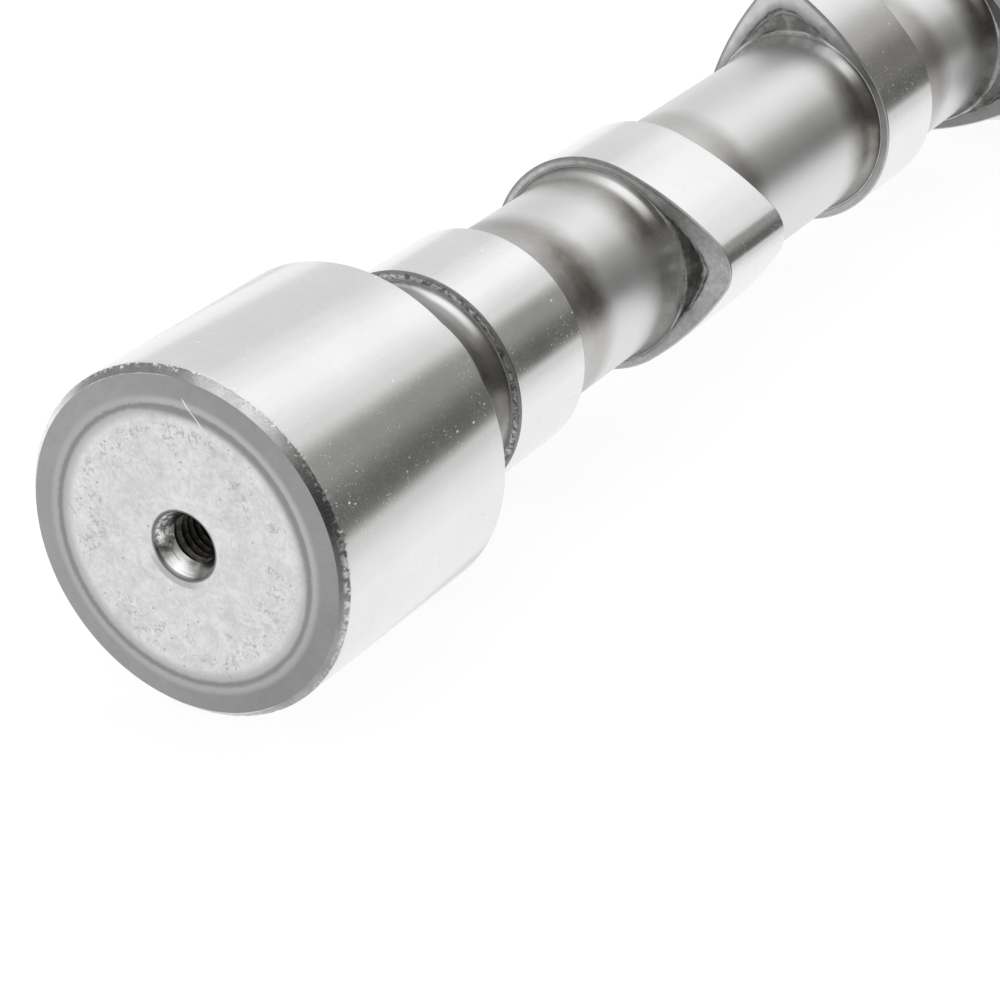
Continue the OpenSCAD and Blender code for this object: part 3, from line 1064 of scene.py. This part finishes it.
def worn_edge_with_painted_light(name):
    """Lead-in of the rear end: painted reflection varies its tone round the shaft, and its outer half is
    chipped.
    """
    wires = start(name)
    radius = wires.at("Radius")
    angle = wires.at("Angle")
    chips = wires.effect(clouds_tree, Size=0.5, Detail=4.0, Low=0.5, High=0.6)
    stipple = wires.effect(clouds_tree, Size=0.28, Detail=2.0, Low=0.3, High=0.7)
    mottles = wires.effect(clouds_tree, Size=0.9, Detail=4.0, Low=0.38, High=0.55, Warp=0.5)
    cloud = wires.effect(clouds_tree, Size=3.0, Detail=4.0, Low=0.35, High=0.65)
    # Painted reflection: the tone steps round the shaft. Each step is (from angle, to angle, change of
    # tone)
    tone = wires.steps(angle, 0.8, (-150, -100, -0.18), (-85, -55, -0.29), (-25, 10, -0.15),
                       (30, 46, 0.15), (46, 58, 0.29), (78, 91, -0.34), (122, 148, 0.52))
    uneven = wires.times(tone, wires.sum(0.82, wires.times(cloud, 0.22), wires.times(stipple, 0.14)))
    plain = wires.even_grey(uneven)
    outer_half = wires.fade(radius, LAND_EDGE_R + 0.3, LAND_EDGE_R + 0.7)
    lower_right = wires.between(angle, -34, -2, 8, 28)
    colour = wires.mix(wires.times(outer_half, lower_right, mottles, 0.7), plain, grey(0.8))
    frayed = wires.sum(radius, wires.waver(mottles, 0.45))
    outer = wires.fade(frayed, JOURNAL_R - 0.35, JOURNAL_R - 0.1)
    upper = wires.times(wires.fade(angle, 38, 52, 0.35, 1.0), wires.fade(angle, 125, 110, 0.35, 1.0))
    knocks = wires.times(chips, outer, upper)
    colour = wires.mix(knocks, colour, grey(0.9))
    # Painted highlight along the inner edge of the lead-in, at the top and the bottom
    top_or_bottom = wires.either(wires.between(angle, 88, 100, 124, 136),
                                 wires.between(angle, -125, -105, -62, -50))
    edge_highlight = wires.times(wires.fade(radius, LAND_EDGE_R + 0.08, LAND_EDGE_R + 0.03),
                              wires.sum(0.25, wires.times(cloud, 0.6)), top_or_bottom)
    colour = wires.mix(edge_highlight, colour, grey(0.95))
    rough = wires.sum(0.24, wires.times(stipple, 0.06), wires.times(chips, 0.08))
    return finished_steel(name, colour, rough, [(knocks, 0.05), (stipple, 0.003)])


def rear_face_steel(name):
    """Rear end face: a turned land, the groove and rolled edge round the recess, the scuffed floor."""
    wires = start(name)
    place = wires.at("Place")
    radius = wires.at("Radius")
    angle = wires.at("Angle")
    lines = wires.effect(lines_tree, Around=2.0, Outward=5.0, Detail=3.0)
    turned = {"Vector": place, "Angle": math.radians(BRUSH_SLANT)}
    slant = wires.add("VectorRotate", turned, rotation_type="Y_AXIS")
    brushed = wires.noise(wires.vectors("MULTIPLY", slant, (4.5, 1.0, 1.1)), 1.0, 4.0, 0.65)
    cloud = wires.effect(clouds_tree, Size=6.0, Detail=5.0, Low=0.3, High=0.7, Warp=0.6)
    small = wires.effect(clouds_tree, Size=1.1, Detail=5.0, Low=0.3, High=0.7, Warp=1.2)
    pits = wires.effect(specks_tree, Size=0.42, Apart=1.5, Share=0.4)
    worn = wires.effect(clouds_tree, Size=3.0, Detail=6.0, Low=0.56, High=0.7, Warp=0.8)
    marks = wires.effect(scratches_tree, Turn=-BRUSH_SLANT, Length=30.0, Gap=2.6, Width=0.02, Seed=1.0)
    creases = wires.effect(scratches_tree, Turn=64.0, Length=11.0, Gap=3.5, Width=0.02, Seed=4.0)
    shade = wires.sum(wires.times(wires.fade(brushed, 0.3, 0.7), 0.25), wires.times(cloud, 0.35),
                      wires.times(small, 0.4))
    floor_metal = wires.mix(shade, grey(0.56), grey(0.83))
    floor_metal = wires.mix(wires.times(worn, 0.35), floor_metal, grey(0.5))
    floor_metal = wires.mix(wires.times(marks, 0.12), floor_metal, grey(0.9))
    floor_metal = wires.mix(wires.times(creases, 0.22), floor_metal, grey(0.36))

    # Knocks and scuffs are denser in a broad ring near the recess's edge
    scuffs = wires.times(wires.between(radius, 11.5, 13.5, 16.8, 18.0),
                         wires.effect(clouds_tree, Size=5.0, Detail=2.0, Low=0.42, High=0.55),
                         wires.effect(clouds_tree, Size=0.8, Detail=4.0, Low=0.52, High=0.64, Warp=1.0))
    floor_metal = wires.mix(wires.times(scuffs, 0.6), floor_metal, grey(0.36))
    floor_metal = wires.mix(wires.times(pits, 0.6), floor_metal, grey(0.28))

    # Dark ring round the centre hole, and painted shade on the guard below it
    below = wires.between(angle, -165, -140, -85, -60)
    side_shade = wires.times(below, wires.fade(radius, GUARD_R + 0.15, GUARD_R - 0.1), 0.75)
    floor_metal = wires.mix(side_shade, floor_metal, grey(0.4))
    floor_metal = wires.mix(wires.fade(radius, 5.3, 5.02, 0.0, 0.85), floor_metal, grey(0.1))

    # From the floor through the dark groove and the light ring to the land
    across = wires.sum(radius, wires.waver(small, 0.16))
    # The land's tone steps round the face, lighter on the right and at the top; on the upper right the
    # light ring is lighter and the dark groove wider, as painted light
    wide = wires.between(angle, -30, 30, 88, 118)
    edge_metal = wires.mix(wires.fade(across, 17.5, 19.3, 0.0, 0.85), floor_metal, grey(0.42))
    tone = wires.steps(angle, 0.345, (-170, -110, -0.02), (-100, -60, -0.05), (-20, 15, 0.035),
                       (80, 130, 0.035))
    uneven = wires.times(tone, wires.sum(0.92, wires.times(cloud, 0.08), wires.times(small, 0.06)))
    ring = wires.times(wires.between(across, 19.85, 20.4, 20.55, 21.5),
                       wires.sum(0.75, wires.times(wide, 0.35)))
    land_metal = wires.mix(wires.fade(across, 20.2, 19.85), wires.even_grey(uneven), grey(0.265))
    land_metal = wires.mix(ring, land_metal, grey(0.45))
    inner = wires.fade(across, wires.sum(19.1, wires.times(wide, -0.9)),
                       wires.sum(19.65, wires.times(wide, -0.35)))
    colour = wires.mix(inner, edge_metal, land_metal)
    colour = wires.mix(deep_scratch(wires, place), colour, grey(0.9))
    rough = wires.sum(0.27, wires.times(brushed, 0.08), wires.times(cloud, 0.05))
    heights = [(brushed, 0.003), (small, 0.010), (scuffs, -0.02), (pits, -0.03), (creases, -0.01),
               (lines, 0.002)]
    return finished_steel(name, colour, rough, heights)


def deep_scratch(wires, place):
    """Hairline scratch that crosses the recess's edge, as a mask."""
    (x0, z0), (x1, z1) = SCRATCH_ENDS
    length = math.hypot(x1 - x0, z1 - z0)
    along = ((x1 - x0) / length, 0.0, (z1 - z0) / length)
    over = (-along[2], 0.0, along[0])
    from_start = wires.vectors("SUBTRACT", place, (x0, 0.0, z0))
    run = wires.add("VectorMath", {0: from_start, 1: along}, output="Value", operation="DOT_PRODUCT")
    off = wires.add("VectorMath", {0: from_start, 1: over}, output="Value", operation="DOT_PRODUCT")
    thin = wires.fade(wires.maths("ABSOLUTE", off), 0.05, 0.16, 1.0, 0.0)
    within = wires.times(wires.fade(run, -0.3, 0.3), wires.fade(run, length + 0.6, length - 0.6))
    return wires.times(thin, within, 0.7)


def dark_bore(name):
    """Inside of the tapped holes: cut steel, a little brown, darkened by painted shade deeper in, lighter
    just behind the cone.
    """
    wires = start(name)
    station = wires.at("Station")
    depth = wires.maths("MINIMUM", station, wires.maths("SUBTRACT", LENGTH, station))
    lines = wires.effect(lines_tree, Around=5.0, Along=3.0, Outward=3.0, Detail=3.0)
    spots = wires.effect(clouds_tree, Size=1.0, Detail=3.0, Low=0.4, High=0.6)
    # Painted shade: the bore darkens deeper into the hole
    light = wires.fade(depth, 3.0, 5.0, 0.22, 0.07)
    uneven = wires.times(light, wires.sum(0.25, wires.times(lines, 0.6), wires.times(spots, 0.6)))
    brownish = {0: wires.times(uneven, 1.05), 1: uneven, 2: wires.times(uneven, 0.9)}
    colour = wires.add("CombineColor", brownish)
    return finished_steel(name, colour, wires.sum(0.42, wires.times(lines, 0.2)), [(lines, 0.006)])


steel_finishes = {
    "bore": dark_bore("bore_steel"),
    "centre": centre_steel("centre_steel"),
    "recess": rear_face_steel("rear_face_steel"),
    "lead_in": worn_edge_with_painted_light("lead_in_steel"),
    "ground": ground_steel("journal_steel", tone=0.82, along=9.0),
    "lead_out": turned_steel("lead_out_steel", tone=0.85, spread=0.05, rough=0.2, outward=0.0, along=4.0),
    "neck": turned_steel("neck_steel", tone=0.78, spread=0.06, rough=0.2, outward=2.0, along=2.0),
    "shaft": satin_steel("shaft_steel"),
    "hollow": hollow_steel("hollow_steel"),
    "wall": hollow_wall_steel("hollow_wall_steel"),
    "rim": rim_steel("rim_steel"),
    "lobe_edge": lobe_edge_steel("lobe_edge_steel"),
    "cam": ground_steel("cam_steel", tone=0.83, along=6.0, smoothness=0.12, band_shade=0.6),
    "turned": turned_steel("turned_steel", tone=0.55, spread=0.08, rough=0.26, outward=5.0),
    "key": turned_steel("keyway_steel", tone=0.5, spread=0.08, rough=0.3, outward=0.0, along=3.0),
}


# Camera, fitted to the photograph
CAMERA_PLACE = (0.21535, -0.30212, 0.18932)
CAMERA_AZIMUTH = 30.728
CAMERA_ELEVATION = 27.359
CAMERA_LENS = 111.83

# Studio, in metres. The dark card stands beside the shaft, on a strip of table that is its foot.
# Its two ends are places along the shaft.
FLOOR_Z = -JOURNAL_R * MM
CARD_LOW = FLOOR_Z + 0.001
CARD_HIGH = 0.165
CARD_X = 0.118
CARD_FOOT_X = 0.045
CARD_ENDS = (-0.5, 1.6)

# Lamps over the shaft: (width, x, height)
LAMPS = ((0.24, 0.02, 0.6), (0.46, 0.0, 0.61), (0.72, -0.02, 0.62))
LAMP_LENGTH = 3.0
LAMP_GLOW = 0.107


def camera():
    """The camera that sees what the photograph shows."""
    data = bpy.data.cameras.new("camera")
    data.lens = CAMERA_LENS
    data.sensor_width = 36.0
    data.clip_start = 0.01
    made = add_object("camera", data)
    made.location = CAMERA_PLACE
    made.rotation_euler = (math.radians(90 - CAMERA_ELEVATION), 0, math.radians(CAMERA_AZIMUTH))
    bpy.context.scene.camera = made


# Studio

def flat_panel(name, corners):
    """A flat panel through four corners."""
    bm = bmesh.new()
    bm.faces.new([bm.verts.new(corner) for corner in corners])
    mesh = bpy.data.meshes.new(name)
    bm.to_mesh(mesh)
    bm.free()
    made = add_object(name, mesh)
    return made


def level(left, right, near, far, height):
    """Corners of a level panel."""
    return [(left, near, height), (right, near, height), (right, far, height), (left, far, height)]


def seen_directly(wires):
    """1 where the camera, a reflection or a view through glass looks straight at the surface."""
    rays = wires.tree.nodes.new("ShaderNodeLightPath").outputs
    return wires.either(rays["Is Camera Ray"], rays["Is Glossy Ray"], rays["Is Transmission Ray"])


def floor():
    """White table that keeps a faint shadow."""
    side = 4.0
    panel = flat_panel("floor", level(-side, side, -side, side, FLOOR_Z))
    wires = start("white_table")
    material = started["white_table"][0]
    shader = material.node_tree.nodes["Principled BSDF"]
    seen = seen_directly(wires)
    wires.join(wires.mix(seen, grey(0.9), grey(0.2)), shader.inputs["Base Color"])
    shader.inputs["Roughness"].default_value = 0.9
    shader.inputs["Specular IOR Level"].default_value = 0.0
    shader.inputs["Emission Color"].default_value = grey(1.0)
    wires.join(wires.times(seen, 0.86), shader.inputs["Emission Strength"])
    panel.data.materials.append(material)


def reflected_card(name, corners):
    """A glowing card that only reflections see: its wiring, and what its glow is joined to."""
    panel = flat_panel(name, corners)
    for way in ("camera", "diffuse", "shadow", "transmission", "volume_scatter"):
        setattr(panel, "visible_" + way, False)
    material = bpy.data.materials.new(name)
    material.use_nodes = True
    material.node_tree.nodes.remove(material.node_tree.nodes["Principled BSDF"])
    panel.data.materials.append(material)
    return Wiring(material.node_tree), material.node_tree.nodes["Material Output"].inputs["Surface"]


def dark_card():
    """Dark card beside the shaft. It gives the steel its dark band."""
    near, far = CARD_ENDS
    wires, surface = reflected_card("dark_card", [(CARD_X, near, CARD_LOW), (CARD_X, far, CARD_LOW),
                                                  (CARD_X, far, CARD_HIGH), (CARD_X, near, CARD_HIGH)])
    height = wires.add("SeparateXYZ", {0: wires.add("TexCoord", {}, output="Object")}, output="Z")
    below = wires.fade(height, -0.026, -0.003, 0.8, 0.0)
    middle = wires.fade(height, 0.02, 0.07, 0.125, 0.31)
    above = wires.fade(height, 0.095, 0.16, 0.0, 0.52)
    glow = wires.add("Emission", {"Color": grey(1.0, 0.02), "Strength": wires.sum(below, middle, above)})
    wires.join(glow, surface)


def card_foot():
    """Soft grey strip of table before the dark card. It gives the dark band its soft lower edge."""
    wires, surface = reflected_card("card_foot", level(CARD_FOOT_X, CARD_X, *CARD_ENDS, CARD_LOW))
    across = wires.add("SeparateXYZ", {0: wires.add("TexCoord", {}, output="Object")}, output="X")
    strength = wires.fade(across, CARD_FOOT_X, CARD_X, 0.97, 0.66)
    wires.join(wires.add("Emission", {"Color": grey(1.0), "Strength": strength}), surface)


def grey_ceiling():
    """Light grey ceiling over the lamps, for the steel's upper side."""
    side = 8.0
    wires, surface = reflected_card("grey_ceiling", level(-side, side, -side, side, 0.9))
    wires.join(wires.add("Emission", {"Color": grey(1.0), "Strength": 0.8}), surface)


def overhead_softboxes():
    """Long soft lamps over the shaft. The wider ones lie higher, so the light fades at its edges."""
    for width, x, height in LAMPS:
        data = bpy.data.lights.new("overhead_softbox", "AREA")
        data.shape = "RECTANGLE"
        data.size = width
        data.size_y = LAMP_LENGTH
        data.energy = LAMP_GLOW * math.pi * data.size * data.size_y
        add_object("overhead_softbox", data).location = (x, 0.8, height)


def studio_world():
    """Pale grey light from all round, white where it is seen directly."""
    world = bpy.data.worlds.new("studio")
    world.use_nodes = True
    bpy.context.scene.world = world
    wires = Wiring(world.node_tree)
    shade = wires.mix(seen_directly(wires), grey(0.8), grey(1.0))
    wires.join(shade, world.node_tree.nodes["Background"].inputs["Color"])


camera()
steel = camshaft_steel()
for name in FINISHES:
    steel.data.materials.append(steel_finishes[name])
cut_keyway(steel)
steel.data.set_sharp_from_angle(angle=SHARP_EDGE)
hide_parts("camshaft")
rear_start = RECESS_DEPTH + cone_end(REAR_TAP_R, CENTRE_R, GUARD_L) + THREAD_START * REAR_PITCH
rear_thread = thread_ridge("rear_thread", REAR_THREAD_R, REAR_TAP_R, REAR_PITCH,
                           rear_start, REAR_THREAD_L)
front_end = LENGTH - cone_end(FRONT_TAP_R, FRONT_SINK_R, FRONT_GUARD_L) - THREAD_START * FRONT_PITCH
front_thread = thread_ridge("front_thread", FRONT_THREAD_R, FRONT_TAP_R, FRONT_PITCH,
                            LENGTH - FRONT_THREAD_L, front_end)
for thread in (rear_thread, front_thread):
    thread.data.materials.append(steel_finishes["bore"])
for piece in (steel, rear_thread, front_thread):
    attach(piece, "root")
floor()
dark_card()
card_foot()
grey_ceiling()
overhead_softboxes()
studio_world()
bpy.context.scene.view_settings.view_transform = "Standard"
